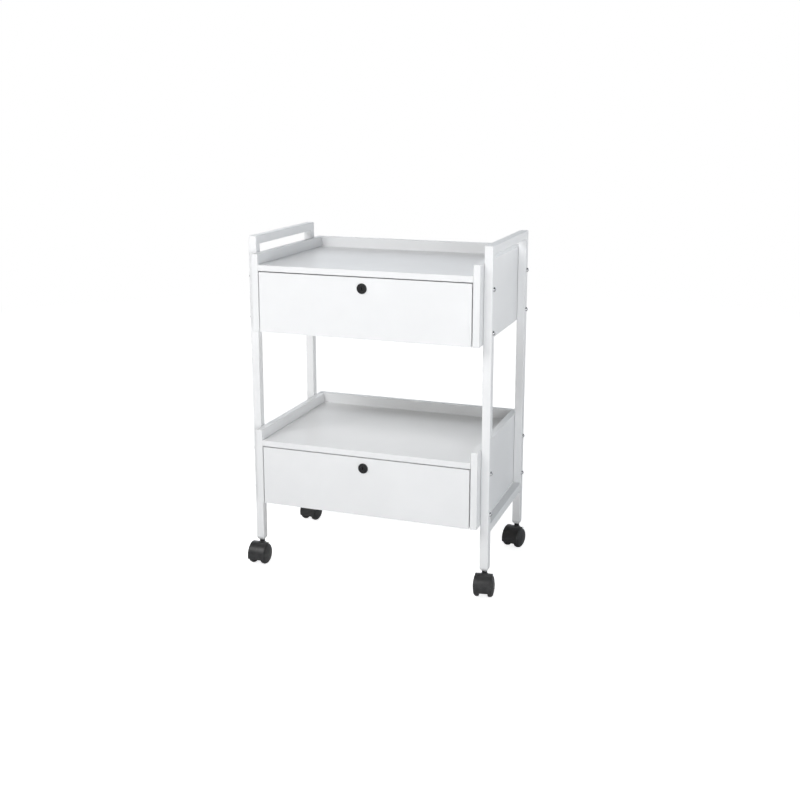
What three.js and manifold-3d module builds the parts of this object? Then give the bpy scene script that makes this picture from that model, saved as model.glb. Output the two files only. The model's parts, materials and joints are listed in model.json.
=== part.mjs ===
// A rolling salon trolley: two welded square-tube side frames carry two drawer boxes whose tops are
// lipped trays, and the four legs stand on twin-wheel swivel casters.
// Millimetres. X is the width, -Y is the front, Z points up from the floor under the casters.

import * as THREE from 'three';
import { mergeVertices } from 'three/addons/utils/BufferGeometryUtils.js';
import Module from 'manifold-3d';

const wasm = await Module();
wasm.setup();

// Side frames
const FRAME_WIDTH = 586;
const FRAME_DEPTH = 331;
const FRAME_HEIGHT = 805;
const TUBE = 20;
const TUBE_CORNER = 2.5;
const TUBE_WALL = 1.2;
const RAIL_TOP = 166;
const VENT_SIDE = 6;

// Drawer boxes
const BOARD = 16;
const SHELF_BOARD = 14;
const LIP = 25;
const BOX_HEIGHT = 181.5;
const BOX_BOTTOM = { upper: 585.5, lower: 166 };
const BOX_FRONT_OVERHANG = 28;
const BOX_BACK_OVERHANG = 26.5;

// Drawers
const DRAWER_GAP = 2.5;
const SIDE_BOARD = 12;
const SIDE_HEIGHT = 100;
const SIDE_LIFT = 8;
const SIDE_LENGTH = 330;
const BOTTOM_BOARD = 4;
const GROOVE_DEPTH = 6;
const GROOVE_SLACK = 0.3;
const GROOVE_LIFT = 8;

// Runners
const RUNNER_SPACE = 12.5;
const RUNNER_LENGTH = 330;
const RUNNER_LIFT = 50;
const RUNNER_SETBACK = 4;
const SHEET = 1.2;
const CABINET_RAIL = { height: 36, depth: 10 };
const DRAWER_RAIL = { height: 28, depth: 9 };

// Cam locks
const LOCK_DROP = 24.5;
const LOCK_FLANGE = { radius: 12, depth: 2.5 };
const LOCK_BARREL = { radius: 9, length: 22 };
const LOCK_BORE_SLACK = 0.4;
const LOCK_PLUG_RADIUS = 6.5;
const LOCK_PLUG_SLACK = 0.15;
const LOCK_NUT = { radius: 13, depth: 4 };
const LOCK_TANG = { radius: 3, length: 3.4 };
const KEYWAY = { width: 2, height: 8, depth: 10 };
const CAM = { reach: 34, width: 12, thickness: 2.4 };
const MORTISE = { left: 23.5, right: 7.5, width: 9, depth: 9 };

// End plugs and casters
const PLUG_BOTTOM = 57;
const PLUG_BOTTOM_SIDE = 13;
const PLUG_CHAMFER = 4.5;
const PLUG_HEAD = 8;
const PLUG_INSERT = { length: 24, corner: 1 };
const STEM = { radius: 5, foot: 30, length: 44 };
const CASTER_SLACK = 0.15;
const WHEEL_RADIUS = 25.5;
const WHEEL_SIDES = 24;
const WHEEL_INNER = 10.4;
const WHEEL_HUB = 7;
const WHEEL_RIM = { inner: 20, outer: 24.2 };
const WHEEL_TREAD = { near: 13.5, far: 17.5 };
const WHEEL_WEB = 18;
const WHEEL_DOME = 25.3;
// The outer face's curve from the tread to the dome, as radius and distance from the caster's middle.
const WHEEL_FACE = [[23.8, 20.2], [20.6, 22.6], [14, 24.2]];
const AXLE = { radius: 3, half: 20.5, slack: 0.08 };
const TRAIL = 14;
const FENDER = { radius: 28, thickness: 1.7, half: 20.25, start: -20, end: 122 };
const HOOD_CORE = { half: 9.6, radius: 15, inner: 11, inset: 0.5 };
const HOOD_BOSS = { bottom: 24, top: 48.5 };
const NECK_RADIUS = 6.25;

const GAP = 0.3;
// How far a cutting or joined solid reaches past the face it meets.
const OVERLAP = 1;
const ROUND_SIDES = 24;

const halfWidth = FRAME_WIDTH / 2;
const halfDepth = FRAME_DEPTH / 2;
const boxFront = -halfDepth - BOX_FRONT_OVERHANG;
const boxBack = halfDepth + BOX_BACK_OVERHANG;
const panelOuter = halfWidth - TUBE - GAP;
const panelInner = panelOuter - BOARD;
const stemX = halfWidth - TUBE / 2;
const stemY = halfDepth - TUBE / 2;
const axleHeight = WHEEL_RADIUS * Math.cos(Math.PI / WHEEL_SIDES);

// Each caster's place and its swivel angle about Z at rest, in degrees.
const CASTERS = {
  front_left: { x: -stemX, y: -stemY, turn: 0.5 },
  front_right: { x: stemX, y: -stemY, turn: 9.5 },
  rear_left: { x: -stemX, y: stemY, turn: -4.5 },
  rear_right: { x: stemX, y: stemY, turn: -14 },
};

const COLOURS = {
  frame: { color: 0xf1f2f3, roughness: 0.4, metalness: 0.1 },
  board: { color: 0xf3f3f2, roughness: 0.5, metalness: 0 },
  carton: { color: 0xe9e7e2, roughness: 0.7, metalness: 0 },
  zinc: { color: 0xb9bcc0, roughness: 0.35, metalness: 1 },
  lock: { color: 0x1b1b1c, roughness: 0.35, metalness: 0.6 },
  plug: { color: 0xe4e5e6, roughness: 0.5, metalness: 0 },
  nylon: { color: 0x333335, roughness: 0.45, metalness: 0 },
};

const trolley = new THREE.Group();
trolley.name = 'trolley';

// Adds one named sub-part to a group.
function addPart(parent, name, geometry, look) {
  const mesh = new THREE.Mesh(geometry, new THREE.MeshStandardMaterial(COLOURS[look]));
  mesh.name = name;
  parent.add(mesh);
  return mesh;
}

// A closed geometry as a manifold solid.
function solid(geometry) {
  const bare = geometry.clone();
  bare.deleteAttribute('normal');
  bare.deleteAttribute('uv');
  const merged = mergeVertices(bare, 1e-5);
  return new wasm.Manifold(new wasm.Mesh({
    numProp: 3,
    vertProperties: new Float32Array(merged.attributes.position.array),
    triVerts: new Uint32Array(merged.index.array),
  }));
}

// A manifold solid as a geometry.
function toGeometry(body) {
  const mesh = body.getMesh();
  const geometry = new THREE.BufferGeometry();
  geometry.setAttribute('position', new THREE.BufferAttribute(mesh.vertProperties, 3));
  geometry.setIndex(new THREE.BufferAttribute(mesh.triVerts, 1));
  geometry.computeVertexNormals();
  return geometry;
}

// A box between two corners.
function boxBetween(low, high) {
  const size = high.map((value, axis) => value - low[axis]);
  const middle = high.map((value, axis) => (value + low[axis]) / 2);
  return new THREE.BoxGeometry(...size).translate(...middle);
}

// A cylinder along Z from one height to another.
function cylinderZ(radius, bottom, top, sides = ROUND_SIDES) {
  const height = top - bottom;
  return new THREE.CylinderGeometry(radius, radius, height, sides)
    .rotateX(Math.PI / 2)
    .translate(0, 0, bottom + height / 2);
}

// A cylinder along Y from one depth to another.
function cylinderY(radius, near, far, sides = ROUND_SIDES) {
  return new THREE.CylinderGeometry(radius, radius, far - near, sides).translate(0, (near + far) / 2, 0);
}

// A cylinder along X, centred on the origin.
function cylinderX(radius, half, sides = ROUND_SIDES) {
  return new THREE.CylinderGeometry(radius, radius, half * 2, sides).rotateZ(Math.PI / 2);
}

// The outline of a square tube with rounded corners, as points in turn.
function roundedSquare(side, corner) {
  const reach = side / 2 - corner;
  const steps = 3;
  const points = [];
  for (let quarter = 0; quarter < 4; quarter++) {
    const middle = (quarter + 0.5) * Math.PI / 2;
    const centre = new THREE.Vector2(Math.sign(Math.cos(middle)), Math.sign(Math.sin(middle)));
    for (let step = 0; step <= steps; step++) {
      const angle = (quarter + step / steps) * Math.PI / 2;
      points.push(new THREE.Vector2(
        centre.x * reach + corner * Math.cos(angle),
        centre.y * reach + corner * Math.sin(angle),
      ));
    }
  }
  return points;
}

// A square tube's full section extruded along Z.
function squarePrism(side, corner, bottom, top) {
  const shape = new THREE.Shape(roundedSquare(side, corner));
  return new THREE.ExtrudeGeometry(shape, { depth: top - bottom, bevelEnabled: false })
    .translate(0, 0, bottom);
}

// A section swept up the front leg, along the top bar and down the rear leg, mitred at both corners.
function mitredArch(section, foot) {
  const middle = TUBE / 2;
  const stations = [
    { y: -halfDepth + middle, z: foot, outY: -1, outZ: 0 },
    { y: -halfDepth + middle, z: FRAME_HEIGHT - middle, outY: -1, outZ: 1 },
    { y: halfDepth - middle, z: FRAME_HEIGHT - middle, outY: 1, outZ: 1 },
    { y: halfDepth - middle, z: foot, outY: 1, outZ: 0 },
  ];
  const positions = [];
  for (const station of stations) {
    for (const point of section) {
      positions.push(point.x, station.y + point.y * station.outY, station.z + point.y * station.outZ);
    }
  }
  const count = section.length;
  const index = [];
  for (let ring = 0; ring < stations.length - 1; ring++) {
    for (let k = 0; k < count; k++) {
      const a = ring * count + k;
      const b = ring * count + (k + 1) % count;
      index.push(a, b + count, b, a, a + count, b + count);
    }
  }
  const last = (stations.length - 1) * count;
  for (let k = 1; k < count - 1; k++) {
    index.push(0, k, k + 1, last, last + k + 1, last + k);
  }
  const geometry = new THREE.BufferGeometry();
  geometry.setAttribute('position', new THREE.Float32BufferAttribute(positions, 3));
  geometry.setIndex(index);
  return geometry;
}

// One welded side frame: two legs, the top bar and the bottom rail, hollow and open at the feet.
function sideFrame(side) {
  const foot = PLUG_BOTTOM + PLUG_HEAD;
  const hollow = TUBE - 2 * TUBE_WALL;
  const hollowCorner = TUBE_CORNER - TUBE_WALL;
  const railMiddle = RAIL_TOP - TUBE / 2;
  const railHalf = halfDepth - TUBE;
  const outerArch = solid(mitredArch(roundedSquare(TUBE, TUBE_CORNER), foot));
  const innerArch = solid(mitredArch(roundedSquare(hollow, hollowCorner), foot - OVERLAP));
  const rail = solid(squarePrism(TUBE, TUBE_CORNER, -railHalf - TUBE_CORNER, railHalf + TUBE_CORNER)
    .rotateX(Math.PI / 2).translate(0, 0, railMiddle));
  const hollowHalf = railHalf - TUBE_WALL;
  const railHollow = solid(squarePrism(hollow, hollowCorner, -hollowHalf, hollowHalf)
    .rotateX(Math.PI / 2).translate(0, 0, railMiddle));
  const vent = solid(boxBetween(
    [-VENT_SIDE / 2, -railHalf - TUBE / 2, railMiddle - VENT_SIDE / 2],
    [VENT_SIDE / 2, railHalf + TUBE / 2, railMiddle + VENT_SIDE / 2],
  ));
  const body = outerArch.add(rail).subtract(innerArch).subtract(railHollow).subtract(vent);
  return toGeometry(body).translate(side * stemX, 0, 0);
}

// The four boards of one box: two side panels, the back panel and the tray shelf with its mortise.
function addCarcass(level) {
  const bottom = BOX_BOTTOM[level];
  const top = bottom + BOX_HEIGHT;
  const shelfTop = top - LIP;
  const shelfBottom = shelfTop - SHELF_BOARD;
  const backInner = boxBack - BOARD;
  const inner = panelInner - GAP;
  addPart(trolley, `${level}_left_panel`,
    boxBetween([-panelOuter, boxFront, bottom], [-panelInner, boxBack, top]), 'board');
  addPart(trolley, `${level}_right_panel`,
    boxBetween([panelInner, boxFront, bottom], [panelOuter, boxBack, top]), 'board');
  addPart(trolley, `${level}_back_panel`,
    boxBetween([-inner, backInner, bottom], [inner, boxBack, top]), 'board');
  const camMiddle = camPlane();
  const shelf = solid(boxBetween([-inner, boxFront, shelfBottom], [inner, backInner - GAP, shelfTop]));
  const mortise = solid(boxBetween(
    [-MORTISE.left, camMiddle - MORTISE.width / 2, shelfBottom - OVERLAP],
    [MORTISE.right, camMiddle + MORTISE.width / 2, shelfBottom + MORTISE.depth],
  ));
  addPart(trolley, `${level}_tray_shelf`, toGeometry(shelf.subtract(mortise)), 'board');
}

// The height of a level's shelf underside, and of its lock's axis.
function shelfUnderside(level) {
  return BOX_BOTTOM[level] + BOX_HEIGHT - LIP - SHELF_BOARD;
}

function lockHeight(level) {
  return shelfUnderside(level) - DRAWER_GAP - LOCK_DROP;
}

// The depth at which the lock's barrel ends, and the middle plane of its cam.
function barrelEnd() {
  return boxFront - GAP + LOCK_BARREL.length;
}

function camPlane() {
  return barrelEnd() + GAP + CAM.thickness / 2;
}

// One drawer's five boards. The bottom is let into grooves in the front, sides and back.
function addDrawer(level) {
  const bottom = BOX_BOTTOM[level];
  const frontHalf = panelInner - DRAWER_GAP;
  const frontTop = shelfUnderside(level) - DRAWER_GAP;
  const frontBack = boxFront + BOARD;
  const sideOuter = panelInner - RUNNER_SPACE;
  const sideInner = sideOuter - SIDE_BOARD;
  const sideBottom = bottom + SIDE_LIFT;
  const sideTop = sideBottom + SIDE_HEIGHT;
  const near = frontBack + GAP;
  const far = near + SIDE_LENGTH;
  const backNear = far - SIDE_BOARD;
  const panelBottom = sideBottom + GROOVE_LIFT;
  const panelTop = panelBottom + BOTTOM_BOARD;
  const panelReach = sideInner + GROOVE_DEPTH - GAP;

  const groove = solid(boxBetween(
    [-sideInner - GROOVE_DEPTH, frontBack - GROOVE_DEPTH, panelBottom - GROOVE_SLACK],
    [sideInner + GROOVE_DEPTH, backNear + GROOVE_DEPTH, panelTop + GROOVE_SLACK],
  ));
  const lockBore = solid(cylinderY(
    LOCK_BARREL.radius + LOCK_BORE_SLACK, boxFront - OVERLAP, frontBack + OVERLAP,
  ).translate(0, 0, lockHeight(level)));
  const front = solid(boxBetween([-frontHalf, boxFront, bottom], [frontHalf, frontBack, frontTop]));
  addPart(trolley, `${level}_drawer_front`,
    toGeometry(front.subtract(lockBore).subtract(groove)), 'board');
  for (const [name, side] of [['left', -1], ['right', 1]]) {
    const xs = [side * sideInner, side * sideOuter].sort((a, b) => a - b);
    const board = solid(boxBetween([xs[0], near, sideBottom], [xs[1], far, sideTop]));
    addPart(trolley, `${level}_drawer_${name}_side`, toGeometry(board.subtract(groove)), 'board');
  }
  const back = solid(boxBetween(
    [-sideInner + GAP, backNear, sideBottom],
    [sideInner - GAP, far, sideTop],
  ));
  addPart(trolley, `${level}_drawer_back`, toGeometry(back.subtract(groove)), 'board');
  addPart(trolley, `${level}_drawer_bottom`, boxBetween(
    [-panelReach, frontBack - GROOVE_DEPTH + GAP, panelBottom],
    [panelReach, backNear + GROOVE_DEPTH - GAP, panelTop],
  ), 'carton');
}

// A folded channel along Y, open towards +X, with its web's back on the YZ plane.
function channel(size, near, far) {
  const half = size.height / 2;
  const inside = half - SHEET;
  const outline = [
    [0, -half], [size.depth, -half], [size.depth, -inside], [SHEET, -inside],
    [SHEET, inside], [size.depth, inside], [size.depth, half], [0, half],
  ];
  const shape = new THREE.Shape(outline.map(([x, z]) => new THREE.Vector2(x, z)));
  return new THREE.ExtrudeGeometry(shape, { depth: far - near, bevelEnabled: false })
    .rotateX(Math.PI / 2)
    .translate(0, far, 0);
}

// A box's two runners: a channel on each side panel, and a smaller one on the drawer inside it.
function addRunners(level) {
  const near = boxFront + BOARD + RUNNER_SETBACK;
  const far = near + RUNNER_LENGTH;
  const height = BOX_BOTTOM[level] + RUNNER_LIFT;
  const cabinetWeb = panelInner - GAP;
  const drawerWeb = panelInner - RUNNER_SPACE + GAP;
  const middle = (near + far) / 2;
  for (const [name, turn] of [['right', 0], ['left', Math.PI]]) {
    const cabinet = channel(CABINET_RAIL, near, far)
      .translate(0, -middle, 0).rotateZ(Math.PI).translate(cabinetWeb, middle, height);
    const drawer = channel(DRAWER_RAIL, near, far).translate(drawerWeb, 0, height);
    for (const [kind, geometry] of [['cabinet', cabinet], ['drawer', drawer]]) {
      geometry.translate(0, -middle, 0).rotateZ(turn).translate(0, middle, 0);
      addPart(trolley, `${level}_${name}_${kind}_rail`, geometry, 'zinc');
    }
  }
}

// One cam lock: the flanged housing, its nut, the plug with a keyway, and the cam pointing left.
function addLock(level) {
  const lock = new THREE.Group();
  lock.position.set(0, 0, lockHeight(level));
  trolley.add(lock);
  const flangeBack = boxFront - GAP;
  const flangeFront = flangeBack - LOCK_FLANGE.depth;
  const end = barrelEnd();
  const bore = solid(cylinderY(LOCK_PLUG_RADIUS + LOCK_PLUG_SLACK, flangeFront - OVERLAP, end + OVERLAP));
  const housing = solid(cylinderY(LOCK_FLANGE.radius, flangeFront, flangeBack))
    .add(solid(cylinderY(LOCK_BARREL.radius, flangeFront + OVERLAP, end)))
    .subtract(bore);
  addPart(lock, `${level}_lock_housing`, toGeometry(housing), 'lock');

  const nutNear = boxFront + BOARD + GAP;
  const nutFar = nutNear + LOCK_NUT.depth;
  const nut = solid(cylinderY(LOCK_NUT.radius, nutNear, nutFar, 6))
    .subtract(solid(cylinderY(LOCK_BARREL.radius + GAP, nutNear - OVERLAP, nutFar + OVERLAP)));
  addPart(lock, `${level}_lock_nut`, toGeometry(nut), 'zinc');

  const plugFront = flangeFront + GAP;
  const camNear = end + GAP;
  const camFar = camNear + CAM.thickness;
  const plug = solid(cylinderY(LOCK_PLUG_RADIUS, plugFront, end))
    .add(solid(cylinderY(LOCK_TANG.radius, end - OVERLAP, end + LOCK_TANG.length)))
    .subtract(solid(boxBetween(
      [-KEYWAY.width / 2, plugFront - OVERLAP, -KEYWAY.height / 2],
      [KEYWAY.width / 2, plugFront + KEYWAY.depth, KEYWAY.height / 2],
    )));
  addPart(lock, `${level}_lock_plug`, toGeometry(plug), 'lock');

  const round = CAM.width / 2;
  const cam = solid(boxBetween([-CAM.reach, camNear, -round], [0, camFar, round]))
    .add(solid(cylinderY(round, camNear, camFar)))
    .subtract(solid(cylinderY(LOCK_TANG.radius + LOCK_PLUG_SLACK, camNear - OVERLAP, camFar + OVERLAP)));
  addPart(lock, `${level}_lock_cam`, toGeometry(cam), 'zinc');
}

// The white plug in a leg's foot: an insert, a square head with a chamfered lower end, and a bore.
function endPlug() {
  const shoulder = PLUG_BOTTOM + PLUG_HEAD - GAP;
  const insertSide = TUBE - 2 * TUBE_WALL - 2 * GAP;
  const head = solid(squarePrism(TUBE, TUBE_CORNER, PLUG_BOTTOM, shoulder));
  const chamferTop = PLUG_BOTTOM + PLUG_CHAMFER;
  const slope = (TUBE - PLUG_BOTTOM_SIDE) / 2 / PLUG_CHAMFER;
  const envelopeTop = shoulder + OVERLAP;
  const wideSide = TUBE + 2 * slope * (envelopeTop - chamferTop);
  const envelope = solid(new THREE.CylinderGeometry(
    wideSide / Math.SQRT2, PLUG_BOTTOM_SIDE / Math.SQRT2, envelopeTop - PLUG_BOTTOM, 4,
  ).rotateY(Math.PI / 4).rotateX(Math.PI / 2).translate(0, 0, (envelopeTop + PLUG_BOTTOM) / 2));
  const insert = solid(squarePrism(
    insertSide, PLUG_INSERT.corner, shoulder - OVERLAP, shoulder + PLUG_INSERT.length,
  ));
  const bore = solid(cylinderZ(
    STEM.radius + CASTER_SLACK, PLUG_BOTTOM - OVERLAP, STEM.foot + STEM.length + OVERLAP,
  ));
  return toGeometry(head.intersect(envelope).add(insert).subtract(bore));
}

// A closed sector of a ring in the YZ plane, extruded along X. Angles run from -Y up towards +Z.
function ringSector(inner, outer, start, end, half) {
  const steps = 12;
  const shape = new THREE.Shape();
  const at = (radius, step) => {
    const angle = THREE.MathUtils.degToRad(start + (end - start) * step / steps);
    return [-radius * Math.cos(angle), radius * Math.sin(angle)];
  };
  shape.moveTo(...at(outer, 0));
  for (let step = 1; step <= steps; step++) {
    shape.lineTo(...at(outer, step));
  }
  for (let step = steps; step >= 0; step--) {
    shape.lineTo(...at(inner, step));
  }
  return new THREE.ExtrudeGeometry(shape, { depth: half * 2, bevelEnabled: false })
    .rotateX(Math.PI / 2)
    .rotateZ(Math.PI / 2)
    .translate(-half, 0, 0);
}

// A caster's hood: the curved fender, the core between the wheels, and the boss and neck for the stem.
function casterHood() {
  const fenderInner = FENDER.radius - FENDER.thickness;
  const aroundAxle = (geometry) => solid(geometry.translate(0, -TRAIL, axleHeight));
  const fender = aroundAxle(ringSector(fenderInner, FENDER.radius, FENDER.start, FENDER.end, FENDER.half));
  const core = aroundAxle(ringSector(
    HOOD_CORE.inner, FENDER.radius - HOOD_CORE.inset, FENDER.start, FENDER.end, HOOD_CORE.half,
  ));
  const hub = aroundAxle(cylinderX(HOOD_CORE.radius, HOOD_CORE.half));
  const boss = solid(cylinderZ(HOOD_CORE.half, HOOD_BOSS.bottom, HOOD_BOSS.top));
  const neck = solid(cylinderZ(NECK_RADIUS, HOOD_BOSS.bottom + OVERLAP, PLUG_BOTTOM - GAP));
  const axleBore = aroundAxle(cylinderX(AXLE.radius + AXLE.slack, HOOD_CORE.half + OVERLAP, WHEEL_SIDES));
  const stemBore = solid(cylinderZ(STEM.radius + CASTER_SLACK, STEM.foot - OVERLAP, PLUG_BOTTOM));
  return toGeometry(fender.add(core).add(hub).add(boss).add(neck).subtract(axleBore).subtract(stemBore));
}

// A wheel on the +X side of its caster: a crowned tread round a hub, closed by a domed outer face.
function casterWheel() {
  const bore = AXLE.radius + AXLE.slack;
  const boreEnd = AXLE.half + GAP;
  const profile = [
    [0, boreEnd], [bore, boreEnd],
    [bore, WHEEL_INNER], [WHEEL_HUB, WHEEL_INNER],
    [WHEEL_HUB, WHEEL_WEB], [WHEEL_RIM.inner, WHEEL_WEB],
    [WHEEL_RIM.inner, WHEEL_INNER], [WHEEL_RIM.outer, WHEEL_INNER],
    [WHEEL_RADIUS, WHEEL_TREAD.near], [WHEEL_RADIUS, WHEEL_TREAD.far],
    ...WHEEL_FACE,
    [0, WHEEL_DOME],
  ];
  return new THREE.LatheGeometry(profile.map(([r, x]) => new THREE.Vector2(r, x)), WHEEL_SIDES)
    .rotateY(Math.PI / WHEEL_SIDES)
    .rotateZ(-Math.PI / 2);
}

// One caster: its stem stands still in the end plug, and the rest turns about it.
function addCaster(place, { x, y, turn }) {
  const leg = new THREE.Group();
  leg.position.set(x, y, 0);
  trolley.add(leg);
  addPart(leg, `${place}_end_plug`, endPlug(), 'plug');
  addPart(leg, `${place}_caster_stem`, cylinderZ(STEM.radius, STEM.foot, STEM.foot + STEM.length), 'zinc');

  const swivel = new THREE.Group();
  swivel.rotation.z = THREE.MathUtils.degToRad(turn);
  leg.add(swivel);
  addPart(swivel, `${place}_caster_hood`, casterHood(), 'nylon');
  const carriage = new THREE.Group();
  carriage.position.set(0, -TRAIL, axleHeight);
  swivel.add(carriage);
  addPart(carriage, `${place}_caster_axle`, cylinderX(AXLE.radius, AXLE.half, WHEEL_SIDES), 'zinc');
  addPart(carriage, `${place}_caster_right_wheel`, casterWheel(), 'nylon');
  addPart(carriage, `${place}_caster_left_wheel`, casterWheel().rotateZ(Math.PI), 'nylon');
}

addPart(trolley, 'left_side_frame', sideFrame(-1), 'frame');
addPart(trolley, 'right_side_frame', sideFrame(1), 'frame');
for (const level of ['upper', 'lower']) {
  addCarcass(level);
  addDrawer(level);
  addRunners(level);
  addLock(level);
}
for (const [place, caster] of Object.entries(CASTERS)) {
  addCaster(place, caster);
}

export default trolley;
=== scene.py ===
import json
import math

import bmesh
import bpy
from mathutils import Matrix, Vector

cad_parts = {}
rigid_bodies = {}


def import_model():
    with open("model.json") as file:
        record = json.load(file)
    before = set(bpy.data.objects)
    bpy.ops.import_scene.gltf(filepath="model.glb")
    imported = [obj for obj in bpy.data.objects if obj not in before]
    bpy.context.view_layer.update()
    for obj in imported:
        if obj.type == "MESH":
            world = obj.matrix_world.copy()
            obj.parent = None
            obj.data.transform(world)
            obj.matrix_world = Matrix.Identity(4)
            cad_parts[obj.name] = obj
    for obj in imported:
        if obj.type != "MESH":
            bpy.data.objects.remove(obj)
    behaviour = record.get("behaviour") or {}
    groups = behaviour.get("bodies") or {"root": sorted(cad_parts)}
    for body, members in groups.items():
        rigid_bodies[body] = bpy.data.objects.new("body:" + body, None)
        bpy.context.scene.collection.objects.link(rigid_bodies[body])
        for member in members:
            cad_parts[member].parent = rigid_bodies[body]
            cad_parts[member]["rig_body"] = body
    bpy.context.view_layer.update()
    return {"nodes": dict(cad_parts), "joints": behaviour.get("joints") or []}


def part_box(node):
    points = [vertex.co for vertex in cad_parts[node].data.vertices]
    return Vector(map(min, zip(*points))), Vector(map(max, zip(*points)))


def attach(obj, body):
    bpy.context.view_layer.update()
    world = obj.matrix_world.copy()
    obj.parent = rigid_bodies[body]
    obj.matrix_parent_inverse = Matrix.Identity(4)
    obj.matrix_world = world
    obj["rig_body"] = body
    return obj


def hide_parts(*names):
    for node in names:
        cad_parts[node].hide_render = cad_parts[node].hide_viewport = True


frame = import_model()

# A rolling salon trolley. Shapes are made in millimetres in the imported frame's axes, and add_piece
# turns them into metres: X is the width, -Y is the front, where the drawers open, and Z points up.
MM = 0.001
LEVELS = ("upper", "lower")
PLACES = ("front_left", "front_right", "rear_left", "rear_right")
SIDES = {"left": -1, "right": 1}

# Cutting shapes reach this far past what they cut
CLEAR = 1
# Points closer than this to a plane count as on it
CLOSE = 1e-4
# Edges steeper than this many degrees are shaded sharp, on most pieces and on the locks
SHARP = 35
LOCK_SHARP = 30

# Edge radius of each kind of board, and of the other parts that start from their CAD solid
BOARD_EDGES = {
    "left_panel": 1.2,
    "right_panel": 1.2,
    "back_panel": 0.5,
    "tray_shelf": 0.5,
    "drawer_front": 1.0,
    "drawer_left_side": 0.7,
    "drawer_right_side": 0.7,
    "drawer_back": 0.7,
}
BOTTOM_EDGE = 0.3
# A board's face looks down when its normal's Z is below this
DOWNWARD = -0.5
NUT_EDGE = 0.4
CAM_EDGE = 0.35
EDGE_SEGMENTS = 4
MERGE_DISTANCE = 0.005
FLAT_ANGLE = math.radians(2)
SQUARE_ANGLE = math.radians(45)

# Side frames
RAIL_TOP = 167.5
TUBE_RADIUS = 2.0
TUBE_WALL = 1.2
OUTER_CORNER = 3.2
FOOT_HOLLOW = 22.0
CORNER_STEPS = 6

# Weld beads: the fillet's leg, how deep its root is sunk, how far it runs past the flat faces, the
# length of its tapered ends and the share left at their tips, the ripples' pitch, and the shares by
# which the ripples rise and the fillet is hollowed
WELD_SIZE = 2.6
WELD_ROOT = 0.3
WELD_OVERRUN = 0.6
WELD_TAPER = 1.5
WELD_TIP = 0.05
WELD_RIPPLE = 1.7
RIPPLE_SHARE = 0.07
WELD_HOLLOW = 0.22

# Leg screws: their heads, their heights over the bottom of each box, and how their crosses are
# turned, in degrees
SCREW_RADIUS = 5.4
SCREW_HEIGHT = 4.7
SCREW_HEIGHTS = (27.0, 124.0)
SCREW_FIRST_TURN = 20.0
SCREW_TURN_STEP = 37.0

# Every screw head: its rim's height, and its cross recess as shares of the radius and the height
SCREW_RIM = 0.35
RECESS_HALF = 0.12
RECESS_REACH = 0.52
RECESS_FLOOR = 0.35

# Runners: rolled sheet. Screws, each (radius, height), stand at these shares of the length and are
# sunk a little.
SHEET = 1.2
LIP = 2.2
BEND = 1.8
RUNNER_SCREWS = (0.12, 0.5, 0.88)
RUNNER_SCREW = (3.4, 1.3)
SCREW_SUNK = 0.05

# Locks: the housing's barrel, flange and thread, then the plug with its face and tang. A flange has a
# front and a back corner radius.
PLUG_RADIUS = 6.5
BARREL_RADIUS = 9.0
BARREL_CHAMFER = 0.7
LOCK_PLAY = 0.15
BORE_CHAMFER = 0.45
FLANGE_BACK = 0.3
FLANGE_CORNERS = (2.1, 0.25)
THREAD_PITCH = 1.25
THREAD_DEPTH = 0.55
THREAD_START = 1.2
THREAD_RUN_OUT = 2
PLUG_CHAMFER = 0.5
FACE_RECESS = {"depth": 0.25, "floor": 4.6, "rim": 4.9}
TANG_RADIUS = 3.0
TANG_CHAMFER = 0.4
# The keyway's width, height and depth, and the share of its half width that rounds its corners
KEYWAY = (2.6, 8.4, 9.0)
KEYWAY_ROUNDING = 0.98
# The cam screw's head: radius and height
CAM_SCREW = (4.2, 2.2)

# Leg plugs: the chamfered foot as (height over the bottom, side, corner radius), the head and ribs
PLUG_FOOT = ((0, 12.1, 2.0), (0.35, 13.0, 2.2), (4.2, 19.4, 2.5))
PLUG_HEAD = {"start": 4.8, "top": 7.7, "corner": 2.5, "edge": 0.3}
PLUG_PLAY = 0.6
PLUG_RIBS = {"count": 5, "first": 1.5, "pitch": 4, "flank": 0.4, "length": 2, "depth": 0.8}
INSERT_CORNER = 1.0

# Casters: stem, axle and wheels. A tread is (distance from the caster's middle, corner radius), and
# a face is (radius, distance from the middle, corner radius).
STEM_RADIUS = 5.0
STEM_PLAY = 0.15
STEM_CHAMFER = 0.7
GRIP_GROOVE = {"share": 0.7, "width": 2.5, "depth": 0.6, "flank": 0.3}
AXLE_RADIUS = 3.0
AXLE_HALF = 20.5
AXLE_CHAMFER = 0.5
AXLE_PLAY = 0.08
WHEEL_INNER = 10.4
WHEEL_WEB = 18.0
WHEEL_BORE_END = 21.5
WHEEL_HUB = {"end": 7.0, "root": 7.4}
WHEEL_RIM = {"root": 19.6, "end": 20.2, "shoulder": 24.4}
# Corner radii of the bore, the hub's end, the web's roots, the rim's end and its shoulder
WHEEL_CORNERS = (0.2, 0.6, 1.2, 0.5, 0.8)
WHEEL_TREAD = ((13.5, 3.0), (17.0, 4.0))
WHEEL_FACE = ((23.9, 20.0, 4.0), (20.6, 22.4, 2.5), (15.3, 23.6, 8.0), (6.0, 25.1, 6.0))
WHEEL_DOME = 25.3
WHEEL_RIBS = {"count": 8, "half": 0.6, "start": 6.6, "end": 20.8, "recess": 2.5, "overlap": 0.5}

# Caster hoods: a curved fender, a core between the wheels (a web under the fender and a hub round
# the axle), and a boss with a neck. Angles are in degrees from the front up.
FENDER = {
    "radius": 28.0, "thickness": 1.7, "half": 20.5, "start": -20.0, "end": 122.0,
    "edge": 0.45, "crown": 0.4,
}
CORE_HALF = 9.6
CORE_RADIUS = 15.0
CORE_EDGE = 0.7
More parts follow.
